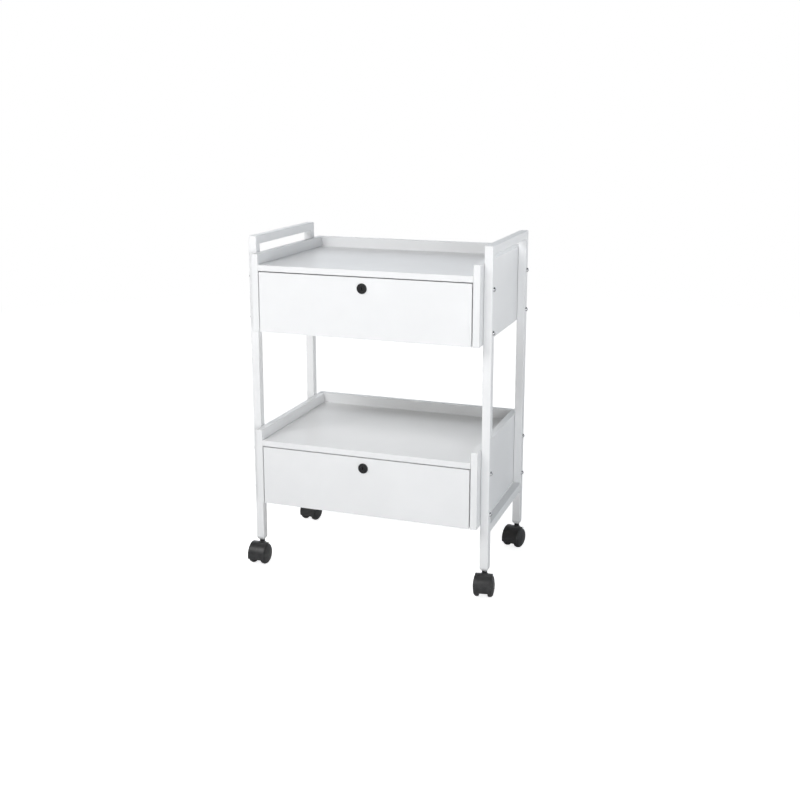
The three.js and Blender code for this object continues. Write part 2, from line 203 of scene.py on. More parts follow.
# The web goes this deep into the hub, and stays inside the fender's skin, ends and core's sides
WEB = {"overlap": 4, "cover": 0.9, "turn": 1, "step": 0.3, "edge": 0.6}
NECK_RADIUS = 6.25
BOSS_STEP = 0.1
BOSS_BOTTOM = 24
BOSS_TOP = 48.5
NECK_TOP = 56.7
# Corner radii of the boss's foot and shoulder and of the neck's foot and rim
BOSS_CORNERS = (0.6, 1.4, 0.8, 0.3)
STEM_BORE = (29, 70)
AXLE_BORE_HALF = 12

# How far the rounded edges of coated pieces take on their edge tone
EDGE_TONE_SHARE = 0.5

# Camera: metres and degrees, and millimetres for the focal length and the sensor
CAMERA_PLACE = (0.8926, -2.4477, 1.0994)
CAMERA_YAW = 19.59
CAMERA_PITCH = 12.21
CAMERA_FOCAL = 49.59
CAMERA_SENSOR = 36
CAMERA_SHIFT = -0.07

# Studio: what the room and the backdrop low behind the trolley send out as light, and the shares of
# the way back and up over which the backdrop fades in
ROOM = (0.07, 0.075, 0.08)
BACKDROP = (1.14, 1.19, 1.25)
BACKDROP_BEHIND = (0.1, 0.7)
BACKDROP_HEIGHT = (0.3, 0.7)

# Lamps: name, place and side in metres, power in watts, and colour
LAMP_AIM = (0, 0, 0.45)
LAMPS = (
    ("key_softbox", (-1.2, -2.6, 3.0), 2.2, 86, (1.0, 0.995, 0.99)),
    ("front_fill", (2.2, -3.1, 0.8), 1.6, 46, (0.98, 0.99, 1.0)),
    ("right_fill", (3.4, 0.2, 1.3), 2.0, 11, (0.92, 0.97, 1.0)),
    ("back_fill", (-2.0, 3.2, 1.6), 2.6, 13, (0.96, 0.98, 1.0)),
)

# Floor: metres, and the distances over which it fades into the white background
FLOOR_RADIUS = 40
FLOOR_SIDES = 96
FLOOR_FADE = (1.2, 4.0)
FLOOR_GLOW = (0.8, 0.8, 0.8)

scene = bpy.context.scene
joints = {joint["name"]: joint for joint in frame["joints"]}


# ---------------------------------------- shape helpers


def box_mm(node):
    """A CAD node's lowest and highest corners in millimetres."""
    low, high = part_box(node)
    return low / MM, high / MM


def rounded_path(corners, steps=5, closed=False):
    """The points of a flat path given as (x, y, radius), with each corner made an arc of its radius."""
    points = []
    for k, (x, y, radius) in enumerate(corners):
        here = Vector((x, y))
        is_end = not closed and k in (0, len(corners) - 1)
        if radius == 0 or is_end:
            points.append(here)
            continue
        back = (Vector(corners[k - 1][:2]) - here).normalized()
        ahead = (Vector(corners[(k + 1) % len(corners)][:2]) - here).normalized()
        half = back.angle(ahead) / 2
        start = here + back * radius / math.tan(half)
        end = here + ahead * radius / math.tan(half)
        centre = here + (back + ahead).normalized() * radius / math.sin(half)
        arm = start - centre
        other = end - centre
        sweep = math.atan2(arm.x * other.y - arm.y * other.x, arm.dot(other))
        for step in range(steps + 1):
            points.append(centre + Matrix.Rotation(sweep * step / steps, 2) @ arm)
    return points


def thick_path(points, thickness):
    """The closed outline of a flat open path that has been given a thickness."""
    left, right = [], []
    for k, point in enumerate(points):
        before = points[max(k - 1, 0)]
        after = points[min(k + 1, len(points) - 1)]
        along = (after - before).normalized()
        normal = Vector((-along.y, along.x)) * thickness / 2
        left.append(point + normal)
        right.append(point - normal)
    return left + right[::-1]


def skin(bm, rings, closed=False):
    """Joins rings of equally many points. The ends are capped unless the last ring meets the first."""
    loops = [[bm.verts.new(point) for point in ring] for ring in rings]
    pairs = list(zip(loops, loops[1:]))
    if closed:
        pairs.append((loops[-1], loops[0]))
    else:
        bm.faces.new(loops[0])
        bm.faces.new(loops[-1])
    for one, two in pairs:
        for k in range(len(one)):
            following = (k + 1) % len(one)
            bm.faces.new((one[k], one[following], two[following], two[k]))


def lathe(profile, sides=64):
    """A solid turned about Z from (radius, height) points that end on the axis or form a loop."""
    bm = bmesh.new()
    tiny = 1e-6
    on_axis = profile[0][0] < tiny and profile[-1][0] < tiny
    rings = []
    for radius, height in profile:
        if radius < tiny:
            rings.append([bm.verts.new((0, 0, height))])
            continue
        rings.append([
            bm.verts.new((radius * math.cos(turn), radius * math.sin(turn), height))
            for turn in (math.tau * k / sides for k in range(sides))
        ])
    pairs = list(zip(rings, rings[1:]))
    if not on_axis:
        pairs.append((rings[-1], rings[0]))
    for one, two in pairs:
        for k in range(sides):
            following = (k + 1) % sides
            if len(one) == 1:
                bm.faces.new((one[0], two[following], two[k]))
            elif len(two) == 1:
                bm.faces.new((one[k], one[following], two[0]))
            else:
                bm.faces.new((one[k], one[following], two[following], two[k]))
    return bm


def block(low, high):
    """A plain box between two corners, used to cut and to build up other shapes."""
    bm = bmesh.new()
    size = Vector(high) - Vector(low)
    middle = (Vector(high) + Vector(low)) / 2
    bmesh.ops.create_cube(bm, size=1, matrix=Matrix.Translation(middle) @ Matrix.Diagonal((*size, 1)))
    return bm


def holder_of(bm):
    """A temporary object that holds a bmesh's shape."""
    bmesh.ops.recalc_face_normals(bm, faces=bm.faces)
    mesh = bpy.data.meshes.new("temporary")
    bm.to_mesh(mesh)
    bm.free()
    holder = bpy.data.objects.new("temporary", mesh)
    scene.collection.objects.link(holder)
    return holder


def taken_from(holder, *others):
    """The bmesh that a temporary object's modifiers give. It and the others are removed."""
    bm = bmesh.new()
    bpy.context.view_layer.update()
    bm.from_object(holder, bpy.context.evaluated_depsgraph_get())
    for used in (holder, *others):
        mesh = used.data
        bpy.data.objects.remove(used)
        bpy.data.meshes.remove(mesh)
    return bm


def combined(bm, other, operation="DIFFERENCE"):
    """One shape cut from another, or joined to it."""
    holder = holder_of(bm)
    tool = holder_of(other)
    modifier = holder.modifiers.new("cut", "BOOLEAN")
    modifier.operation = operation
    modifier.solver = "EXACT"
    modifier.object = tool
    return taken_from(holder, tool)


def merge(bm, other, place=Matrix()):
    """Adds another bmesh's shape to this one, at a place."""
    mesh = bpy.data.meshes.new("temporary")
    bmesh.ops.transform(other, matrix=place, verts=other.verts)
    other.to_mesh(mesh)
    other.free()
    bm.from_mesh(mesh)
    bpy.data.meshes.remove(mesh)


def add_piece(name, bm, material, rides_with, place=Matrix(), replaces=(), sharp=SHARP):
    """Makes a shape in millimetres a piece that rides on the body of a CAD node."""
    bmesh.ops.transform(bm, matrix=Matrix.Scale(MM, 4) @ place, verts=bm.verts)
    bmesh.ops.recalc_face_normals(bm, faces=bm.faces)
    mesh = bpy.data.meshes.new(name)
    bm.to_mesh(mesh)
    bm.free()
    mesh.materials.append(material)
    mesh.shade_smooth()
    mesh.set_sharp_from_angle(angle=math.radians(sharp))
    piece = bpy.data.objects.new(name, mesh)
    scene.collection.objects.link(piece)
    weighted = piece.modifiers.new("flat faces stay flat", "WEIGHTED_NORMAL")
    weighted.keep_sharp = True
    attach(piece, frame["nodes"][rides_with]["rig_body"])
    if replaces:
        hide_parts(*replaces)
    return piece


# ---------------------------------------- material helpers


def new_material(name, colour, roughness, metallic=0.0, **sockets):
    """A material with its constant values on the Principled shader's own sockets."""
    material = bpy.data.materials.new(name)
    material.use_nodes = True
    material.diffuse_color = (*colour, 1)
    shader = material.node_tree.nodes["Principled BSDF"]
    shader.inputs["Base Color"].default_value = (*colour, 1)
    shader.inputs["Roughness"].default_value = roughness
    shader.inputs["Metallic"].default_value = metallic
    for socket, value in sockets.items():
        shader.inputs[socket.replace("_", " ")].default_value = value
    return material, material.node_tree, shader


def noise(tree, size, detail=2.0, stretch=(1, 1, 1)):
    """Noise over the row frame, with features about size metres across, drawn out by stretch."""
    coordinates = tree.nodes.new("ShaderNodeTexCoord")
    mapping = tree.nodes.new("ShaderNodeMapping")
    mapping.inputs["Scale"].default_value = [1 / times for times in stretch]
    texture = tree.nodes.new("ShaderNodeTexNoise")
    texture.inputs["Scale"].default_value = 1 / size
    texture.inputs["Detail"].default_value = detail
    tree.links.new(coordinates.outputs["Object"], mapping.inputs["Vector"])
    tree.links.new(mapping.outputs["Vector"], texture.inputs["Vector"])
    return texture.outputs["Fac"]


def between(tree, value, low=0, high=1, start=0.35, end=0.65):
    """A value spread from low to high as the input goes from start to end."""
    spread = tree.nodes.new("ShaderNodeMapRange")
    spread.inputs["From Min"].default_value = start
    spread.inputs["From Max"].default_value = end
    spread.inputs["To Min"].default_value = low
    spread.inputs["To Max"].default_value = high
    tree.links.new(value, spread.inputs["Value"])
    return spread.outputs["Result"]


def added(tree, one, two, operation="ADD"):
    """Two values added, or joined by another operation."""
    node = tree.nodes.new("ShaderNodeMath")
    node.operation = operation
    for socket, value in zip(node.inputs, (one, two)):
        if isinstance(value, (int, float)):
            socket.default_value = value
        else:
            tree.links.new(value, socket)
    return node.outputs["Value"]


def blended(tree, share, one, two):
    """A colour between two colours, each a tuple or another node's output."""
    mix = tree.nodes.new("ShaderNodeMix")
    mix.data_type = "RGBA"
    sockets = {socket.identifier: socket for socket in mix.inputs}
    tree.links.new(share, sockets["Factor_Float"])
    for key, value in (("A_Color", one), ("B_Color", two)):
        if isinstance(value, tuple):
            sockets[key].default_value = (*value, 1)
        else:
            tree.links.new(value, sockets[key])
    return next(socket for socket in mix.outputs if socket.identifier == "Result_Color")


def edge_mask(tree):
    """One on the rounded edges of a piece and zero on its faces."""
    attribute = tree.nodes.new("ShaderNodeAttribute")
    attribute.attribute_name = "edge"
    return attribute.outputs["Fac"]


def painted(tree, shader, tone, roughness):
    """Links a tone and a roughness to a shader."""
    tree.links.new(tone, shader.inputs["Base Color"])
    tree.links.new(roughness, shader.inputs["Roughness"])


def edge_painted(tree, shader, tone, roughness, edge_tone, polish):
    """Links a tone and a roughness to a shader, nearer edge_tone and more polished on the edges."""
    edges = edge_mask(tree)
    edged = blended(tree, added(tree, edges, EDGE_TONE_SHARE, "MULTIPLY"), tone, edge_tone)
    worn = added(tree, roughness, added(tree, edges, polish, "MULTIPLY"), "SUBTRACT")
    painted(tree, shader, edged, worn)


def bumped(tree, shader, *layers):
    """Stacks bump layers, each (height output, depth in metres), on a shader's normal."""
    normal = None
    for height, depth in layers:
        bump = tree.nodes.new("ShaderNodeBump")
        bump.inputs["Strength"].default_value = 1.0
        bump.inputs["Distance"].default_value = depth
        tree.links.new(height, bump.inputs["Height"])
        if normal is not None:
            tree.links.new(normal, bump.inputs["Normal"])
        normal = bump.outputs["Normal"]
    tree.links.new(normal, shader.inputs["Normal"])


# ---------------------------------------- materials

# Feature sizes and bump depths are in metres. Tones and roughnesses run between the values given.


def powder_coat():
    """White powder coat on steel: fine orange peel, and a thinner, glossier skin on the edges."""
    material, tree, shader = new_material("powder_coat", (0.87, 0.875, 0.88), 0.42)
    cloud = noise(tree, size=0.09, detail=3)
    tone = blended(tree, between(tree, cloud), (0.885, 0.89, 0.895), (0.86, 0.865, 0.872))
    roughness = between(tree, noise(tree, size=0.004, detail=3), low=0.37, high=0.47)
    edge_painted(tree, shader, tone, roughness, (0.81, 0.815, 0.825), 0.07)
    peel = noise(tree, size=0.0016)
    waves = noise(tree, size=0.0055, detail=1)
    bumped(tree, shader, (peel, 0.00012), (waves, 0.00016))
    return material


def foil_board():
    """White foil on particle board: satin, with a faint pearl grain and chips telegraphing through."""
    material, tree, shader = new_material("foil_board", (0.865, 0.87, 0.875), 0.38)
    cloud = noise(tree, size=0.13, detail=3)
    tone = blended(tree, between(tree, cloud), (0.875, 0.88, 0.886), (0.85, 0.855, 0.862))
    grain = noise(tree, size=0.0012, detail=3, stretch=(5, 1, 1))
    roughness = between(tree, grain, low=0.33, high=0.44)
    edge_painted(tree, shader, tone, roughness, (0.80, 0.803, 0.807), 0.06)
    bumped(tree, shader, (grain, 0.00005), (noise(tree, size=0.006), 0.00012))
    return material


def hardboard_face():
    """The drawer bottom's white lacquered face, with the fibres showing through."""
    material, tree, shader = new_material("hardboard_face", (0.76, 0.755, 0.74), 0.5)
    fibres = noise(tree, size=0.002, detail=5, stretch=(2, 1, 1))
    tone = blended(tree, between(tree, fibres), (0.79, 0.785, 0.77), (0.73, 0.72, 0.70))
    painted(tree, shader, tone, between(tree, fibres, low=0.42, high=0.58))
    bumped(tree, shader, (fibres, 0.0001))
    return material


def hardboard_back():
    """The drawer bottom's underside: pale sealed fibreboard."""
    material, tree, shader = new_material("hardboard_back", (0.58, 0.54, 0.47), 0.8)
    fibres = noise(tree, size=0.003, detail=8, stretch=(3, 1, 1))
    flecks = noise(tree, size=0.012, detail=3)
    tone = blended(tree, between(tree, fibres), (0.52, 0.48, 0.41), (0.66, 0.62, 0.55))
    fleck_share = between(tree, flecks, low=0, high=0.5, start=0.5)
    tree.links.new(blended(tree, fleck_share, tone, (0.44, 0.39, 0.32)), shader.inputs["Base Color"])
    bumped(tree, shader, (fibres, 0.0002))
    return material


def zinc_plate():
    """Bright zinc plate on rolled steel, streaked along the rolling direction."""
    material, tree, shader = new_material("zinc_plate", (0.66, 0.67, 0.69), 0.3, metallic=1.0)
    streaks = noise(tree, size=0.0008, detail=4, stretch=(1, 40, 1))
    bloom = noise(tree, size=0.018, detail=4)
    tone = blended(tree, between(tree, bloom), (0.70, 0.71, 0.73), (0.58, 0.60, 0.63))
    painted(tree, shader, tone, between(tree, streaks, low=0.22, high=0.42))
    bumped(tree, shader, (streaks, 0.00003))
    return material


def nickel_plate():
    """Nickel plate on the screw heads, with fine handling scratches."""
    material, tree, shader = new_material("nickel_plate", (0.62, 0.62, 0.63), 0.16, metallic=1.0)
    scratches = noise(tree, size=0.0004, detail=5, stretch=(1, 3, 12))
    tone = blended(tree, between(tree, scratches), (0.66, 0.66, 0.67), (0.54, 0.54, 0.55))
    painted(tree, shader, tone, between(tree, scratches, low=0.11, high=0.22))
    bumped(tree, shader, (scratches, 0.00002))
    return material


def black_lacquer():
    """Black lacquer on the lock's die castings: semi-gloss with a fine peel."""
    material, tree, shader = new_material(
        "black_lacquer", (0.012, 0.012, 0.013), 0.35, Specular_IOR_Level=0.4,
    )
    peel = noise(tree, size=0.0009, detail=3)
    tone = blended(tree, between(tree, peel), (0.009, 0.009, 0.010), (0.018, 0.018, 0.019))
    painted(tree, shader, tone, between(tree, noise(tree, size=0.003, detail=4), low=0.28, high=0.42))
    bumped(tree, shader, (peel, 0.00004))
    return material


def white_plastic():
    """Moulded white polyethylene of the leg plugs, a little waxy."""
    material, tree, shader = new_material("white_plastic", (0.78, 0.785, 0.79), 0.45)
    cloud = noise(tree, size=0.008, detail=3)
    tone = blended(tree, between(tree, cloud), (0.80, 0.805, 0.81), (0.74, 0.745, 0.75))
    painted(tree, shader, tone, between(tree, noise(tree, size=0.002, detail=3), low=0.38, high=0.52))
    bumped(tree, shader, (noise(tree, size=0.0008), 0.00003))
    return material


def charcoal_nylon(name, tone_low, tone_high, grain_depth):
    """Moulded glass-filled nylon of the casters: a fine spark texture and a little scuffing."""
    material, tree, shader = new_material(name, tone_low, 0.4)
    cloud = noise(tree, size=0.01, detail=4)
    scuffs = noise(tree, size=0.0022, detail=6, stretch=(1, 1, 3))
    tone = blended(tree, between(tree, cloud), tone_low, tone_high)
    scuff_share = between(tree, scuffs, low=0, high=0.35, start=0.58, end=0.7)
    scuffed = blended(tree, scuff_share, tone, (0.085, 0.084, 0.082))
    painted(tree, shader, scuffed, between(tree, scuffs, low=0.33, high=0.5))
    bumped(tree, shader, (noise(tree, size=0.0006), grain_depth), (noise(tree, size=0.004), 0.00006))
    return material


COAT = powder_coat()
FOIL = foil_board()
HARDBOARD_FACE = hardboard_face()
HARDBOARD_BACK = hardboard_back()
ZINC = zinc_plate()
NICKEL = nickel_plate()
LACQUER = black_lacquer()
PLASTIC = white_plastic()
NYLON = charcoal_nylon("hood_nylon", (0.022, 0.022, 0.023), (0.034, 0.034, 0.035), 0.00005)
TREAD_NYLON = charcoal_nylon("wheel_nylon", (0.018, 0.018, 0.019), (0.029, 0.029, 0.030), 0.00003)


# ---------------------------------------- boards


def rounded_copy(node, radius):
    """A CAD node's own solid with its square edges rounded. The rounded faces carry the edge mask."""
    bm = bmesh.new()
    bm.from_mesh(frame["nodes"][node].data)
    bmesh.ops.scale(bm, vec=(1 / MM,) * 3, verts=bm.verts)
    bmesh.ops.remove_doubles(bm, verts=bm.verts, dist=MERGE_DISTANCE)
    bmesh.ops.dissolve_limit(bm, angle_limit=FLAT_ANGLE, verts=bm.verts[:], edges=bm.edges[:])
    edge_layer = bm.faces.layers.float.new("edge")
    square = [
        edge for edge in bm.edges
        if edge.is_manifold and edge.calc_face_angle() > SQUARE_ANGLE
    ]
    made = bmesh.ops.bevel(
        bm, geom=square, offset=radius, offset_type="OFFSET", segments=EDGE_SEGMENTS,
        profile=0.5, affect="EDGES", clamp_overlap=True,
    )
    for face in made["faces"]:
        face[edge_layer] = 1.0
    return bm


def add_boards(level):
    """The box's four boards and the drawer's boards."""
    for kind, radius in BOARD_EDGES.items():
        node = f"{level}_{kind}"
        board = rounded_copy(node, radius)
        add_piece(f"{node}_board", board, FOIL, node, replaces=[node])
    node = f"{level}_drawer_bottom"
    piece = add_piece(
        f"{node}_board", rounded_copy(node, BOTTOM_EDGE), HARDBOARD_FACE, node,
        replaces=[node],
    )
    piece.data.materials.append(HARDBOARD_BACK)
    for polygon in piece.data.polygons:
        if polygon.normal.z < DOWNWARD:
            polygon.material_index = 1


# ---------------------------------------- side frames


def frame_outline(half_depth, height, foot, tube, inset):
    """The frame's outer outline in the YZ plane, drawn in by inset: feet, top bar and bottom rail."""
    out = half_depth - inset
    inner = half_depth - tube + inset
    top = height - inset
    rail_bottom = RAIL_TOP - tube + inset
    corner = OUTER_CORNER - inset
    return rounded_path([
        (-out, foot, 0), (-out, top, corner), (out, top, corner), (out, foot, 0),
        (inner, foot, 0), (inner, rail_bottom, 0), (-inner, rail_bottom, 0), (-inner, foot, 0),
    ], steps=CORNER_STEPS, closed=True)


def window_outline(half_depth, height, tube, inset):
    """The opening between the legs, the bar and the rail, grown by inset."""
    side = half_depth - tube + inset
    low = RAIL_TOP - inset
    high = height - tube + inset
    return [Vector(point) for point in ((-side, low), (-side, high), (side, high), (side, low))]


def tube_frame(half_depth, height, foot, tube):
    """Legs, bar and rail of square tube as one welded body, with rounded edges and hollow feet."""
    rounding = []
    for step in range(CORNER_STEPS + 1):
        angle = math.pi / 2 * step / CORNER_STEPS
        rounding.append((
            tube / 2 - TUBE_RADIUS * (1 - math.cos(angle)),
            TUBE_RADIUS * (1 - math.sin(angle)),
        ))
    profile = rounding + [(-across, inset) for across, inset in reversed(rounding)]
    bm = bmesh.new()
    edge_layer = bm.faces.layers.float.new("edge")
    for outline_at in (
        lambda inset: frame_outline(half_depth, height, foot, tube, inset),
        lambda inset: window_outline(half_depth, height, tube, inset),
    ):
        loops = [
            [bm.verts.new((across, y, z)) for y, z in outline_at(inset)]
            for across, inset in profile
        ]
        for one, two in zip(loops, loops[1:]):
            for k in range(len(one)):
                following = (k + 1) % len(one)
                face = bm.faces.new((one[k], one[following], two[following], two[k]))
                face[edge_layer] = 0.0 if two is loops[CORNER_STEPS + 1] else 1.0
    for side in (-1, 1):
        reach = side * tube / 2
        rim = [
            edge for edge in bm.edges
            if edge.is_boundary and all(abs(vert.co.x - reach) < CLOSE for vert in edge.verts)
        ]
        bmesh.ops.triangle_fill(bm, use_beauty=True, use_dissolve=True, edges=rim)
    bmesh.ops.recalc_face_normals(bm, faces=bm.faces)
    hollow_feet(bm, foot)
    return bm


def hollow_feet(bm, foot):
    """Opens the two leg ends as tube ends with a wall round them."""
    for side in (-1, 1):
        ends = [
            face for face in bm.faces
            if all(abs(vert.co.z - foot) < CLOSE for vert in face.verts)
            and side * face.calc_center_median().y > 0
        ]
        bmesh.ops.inset_region(bm, faces=ends, thickness=TUBE_WALL, use_even_offset=True)
        raised = bmesh.ops.extrude_face_region(bm, geom=ends)
        bmesh.ops.delete(bm, geom=ends, context="FACES_ONLY")
        verts = [item for item in raised["geom"] if isinstance(item, bmesh.types.BMVert)]
        bmesh.ops.translate(bm, vec=(0, 0, FOOT_HOLLOW), verts=verts)


def weld_bead(bm, corner_y, corner_z, toward_y, toward_z, tube):
    """A rippled fillet weld along X in the corner between two tubes."""
    half = tube / 2 - TUBE_RADIUS + WELD_OVERRUN
    stations, arc = 36, 8
    rings = []
    for station in range(stations + 1):
        x = half * (2 * station / stations - 1)
        end = min(1.0, (half - abs(x)) / WELD_TAPER)
        taper = max(WELD_TIP, math.sqrt(1 - (1 - end) ** 2))
        ripple = 1 + RIPPLE_SHARE * math.sin(math.tau * x / WELD_RIPPLE)
        ring = [(x, corner_y - WELD_ROOT * toward_y, corner_z - WELD_ROOT * toward_z)]
        for step in range(arc + 1):
            angle = math.pi / 2 * step / arc
            reach = WELD_SIZE * taper * ripple * (1 - WELD_HOLLOW * math.sin(2 * angle))
            ring.append((
                x,
                corner_y + toward_y * reach * math.cos(angle),
                corner_z + toward_z * reach * math.sin(angle),
            ))
        rings.append(ring)
    skin(bm, rings)


def add_side_frame(side_name, side):
    """One side frame with its weld beads and its eight leg screws."""
    node = f"{side_name}_side_frame"
    low, high = box_mm(node)
    tube = high.x - low.x
    half_depth = high.y
    place = Matrix.Translation(((low.x + high.x) / 2, 0, 0))
    body = tube_frame(half_depth, high.z, low.z, tube)
    add_piece(
        f"{side_name}_tube_frame", body, COAT, node, place, replaces=[node],
    )
    welds = bmesh.new()
    inner = half_depth - tube
    for leg in (-1, 1):
        weld_bead(welds, leg * inner, high.z - tube, -leg, -1, tube)
        weld_bead(welds, leg * inner, RAIL_TOP, -leg, 1, tube)
        weld_bead(welds, leg * inner, RAIL_TOP - tube, -leg, -1, tube)
    add_piece(f"{side_name}_frame_welds", welds, COAT, node, place)
    add_leg_screws(side_name, side, node, half_depth - tube / 2)


def screw_head(radius, height):
    """A domed screw head along Z with a cross recess."""
    dome = [(0, height)]
    steps = 10
    for step in range(1, steps + 1):
        angle = math.pi / 2 * step / steps
        dome.append((radius * math.sin(angle), SCREW_RIM + (height - SCREW_RIM) * math.cos(angle)))
    head = lathe(dome + [(radius, 0), (0, 0)], sides=40)
    half, reach, floor = radius * RECESS_HALF, radius * RECESS_REACH, height * RECESS_FLOOR
    cross = combined(
        block((-half, -reach, floor), (half, reach, height + CLEAR)),
        block((-reach, -half, floor), (reach, half, height + CLEAR)),
        "UNION",
    )
    return combined(head, cross)


def add_leg_screws(side_name, side, node, leg_y):
    """The domed screws through the legs' outer faces into the box sides."""
    low, high = box_mm(node)
    face = high.x if side > 0 else low.x
    turn = SCREW_FIRST_TURN
    head = screw_head(SCREW_RADIUS, SCREW_HEIGHT)
    for level in LEVELS:
        bottom = box_mm(f"{level}_{side_name}_panel")[0].z
        for end_name, end in (("front", -1), ("rear", 1)):
            for number, height in enumerate(SCREW_HEIGHTS, start=1):
                turn += SCREW_TURN_STEP
                place = (
                    Matrix.Translation((face, end * leg_y, bottom + height))
                    @ Matrix.Rotation(side * math.pi / 2, 4, "Y")
                    @ Matrix.Rotation(math.radians(turn), 4, "Z")
                )
                add_piece(
                    f"{level}_{end_name}_{side_name}_leg_screw_{number}",
                    head.copy(), NICKEL, node, place,
                )
    head.free()


# ---------------------------------------- runners


def add_rail(level, side_name, side, kind):
    """One rolled runner channel with its screws. Cabinet rails have inward lips."""
    node = f"{level}_{side_name}_{kind}_rail"
    low, high = box_mm(node)
    depth = high.x - low.x
    half = (high.z - low.z) / 2
    middle_z = (high.z + low.z) / 2
    web_side = side if kind == "cabinet" else -side
    web = high.x if web_side > 0 else low.x
    middle = SHEET / 2
    flange = half - middle
    if kind == "cabinet":
        lip = depth - middle
        corners = [
            (lip, LIP - flange, 0), (lip, -flange, BEND), (middle, -flange, BEND),
            (middle, flange, BEND), (lip, flange, BEND), (lip, flange - LIP, 0),
        ]
    else:
        corners = [
            (depth, -flange, 0), (middle, -flange, BEND), (middle, flange, BEND), (depth, flange, 0),
        ]
    outline = thick_path(rounded_path(corners), SHEET)
    bm = bmesh.new()
    skin(bm, [
        [(web - web_side * away, y, middle_z + up) for away, up in outline]
        for y in (low.y, high.y)
    ])
    inside = web - web_side * (SHEET - SCREW_SUNK)
    for share in RUNNER_SCREWS:
        place = (
            Matrix.Translation((inside, low.y + share * (high.y - low.y), middle_z))
            @ Matrix.Rotation(-web_side * math.pi / 2, 4, "Y")
        )
        merge(bm, screw_head(*RUNNER_SCREW), place)
    add_piece(f"{node}_channel", bm, ZINC, node, replaces=[node])


# ---------------------------------------- locks


def lock_place(node, face_y):
    """The lock's axis in the drawer front's face. Local Z points out of the front."""
    low, high = box_mm(node)
    return (
        Matrix.Translation(((low.x + high.x) / 2, face_y, (low.z + high.z) / 2))
        @ Matrix.Rotation(math.pi / 2, 4, "X")
    )


def lock_housing(front, back, radius):
    """The flanged, threaded housing about Z, from its front face to its barrel's end."""
    bore = PLUG_RADIUS + LOCK_PLAY
    mouth = bore + BORE_CHAMFER
    front_corner, back_corner = FLANGE_CORNERS
    profile = [(bore, back), (bore, front - BORE_CHAMFER), (mouth, front)]
    profile += rounded_path([
        (mouth, front, 0), (radius, front, front_corner), (radius, FLANGE_BACK, back_corner),
        (BARREL_RADIUS, FLANGE_BACK, 0),
    ])[1:]
    threads = int((FLANGE_BACK - back - THREAD_RUN_OUT) / THREAD_PITCH)
    for number in range(threads):
        height = FLANGE_BACK - THREAD_START - number * THREAD_PITCH
        profile.append((BARREL_RADIUS - THREAD_DEPTH, height))
        profile.append((BARREL_RADIUS, height - THREAD_PITCH / 2))
    profile.append((BARREL_RADIUS - BARREL_CHAMFER, back))
    return lathe(profile, sides=72)


def lock_plug(front, back, tang_back):
    """The plug about Z: a faceted rim, a keyway with rounded shoulders, and the cam's tang."""
    floor = front - FACE_RECESS["depth"]
    profile = [
        (0, floor), (FACE_RECESS["floor"], floor), (FACE_RECESS["rim"], front),
        (PLUG_RADIUS - PLUG_CHAMFER, front), (PLUG_RADIUS, front - PLUG_CHAMFER),
        (PLUG_RADIUS, back), (TANG_RADIUS, back), (TANG_RADIUS, tang_back + TANG_CHAMFER),
        (TANG_RADIUS - TANG_CHAMFER, tang_back), (0, tang_back),
    ]
    width, height, depth = KEYWAY
    half = width / 2
    straight = height / 2 - half
    corner = half * KEYWAY_ROUNDING
    plug = lathe(profile, sides=72)
    slot_points = rounded_path([
        (-half, -straight - half, corner), (half, -straight - half, corner),
        (half, straight + half, corner), (-half, straight + half, corner),
    ], steps=6, closed=True)
    keyway = bmesh.new()
    skin(keyway, [[(x, y, z) for x, y in slot_points] for z in (front - depth, front + CLEAR)])
    return combined(plug, keyway)


def add_lock(level):
    """One cam lock: housing, nut, plug, cam and the screw that holds the cam."""
    face = box_mm(f"{level}_drawer_front")[0].y
    housing = f"{level}_lock_housing"
    low, high = box_mm(housing)
    place = lock_place(housing, face)
    add_piece(
        f"{level}_lock_body", lock_housing(face - low.y, face - high.y, (high.z - low.z) / 2),
        LACQUER, housing, place, replaces=[housing], sharp=LOCK_SHARP,
    )
    plug = f"{level}_lock_plug"
    plug_low, plug_high = box_mm(plug)
    add_piece(
        f"{level}_lock_key_plug", lock_plug(face - plug_low.y, face - high.y, face - plug_high.y),
        LACQUER, plug, place, replaces=[plug], sharp=LOCK_SHARP,
    )
    nut = f"{level}_lock_nut"
    add_piece(
        f"{level}_lock_hex_nut", rounded_copy(nut, NUT_EDGE), ZINC, nut,
        replaces=[nut],
    )
    cam = f"{level}_lock_cam"
    add_piece(
        f"{level}_lock_cam_arm", rounded_copy(cam, CAM_EDGE), ZINC, cam,
        replaces=[cam],
    )
    cam_back = box_mm(cam)[1].y
    screw_place = (
        Matrix.Translation((0, cam_back - face, 0)) @ place @ Matrix.Rotation(math.pi, 4, "X")
    )
    add_piece(
        f"{level}_lock_cam_screw", screw_head(*CAM_SCREW), NICKEL, cam,
        screw_place,
    )


# ---------------------------------------- casters


def square_reach(angle, side, corner):
    """How far a square with rounded corners reaches from its centre in one direction."""
    turned = (angle + math.pi / 4) % (math.pi / 2) - math.pi / 4
    half = side / 2
    straight = half - corner
    across = half * math.tan(turned)
    if abs(across) <= straight:
        return half / math.cos(turned)
    centre = Vector((straight, math.copysign(straight, across)))
    along = centre.dot(Vector((math.cos(turned), math.sin(turned))))
    return along + math.sqrt(max(0.0, along ** 2 - centre.length_squared + corner ** 2))


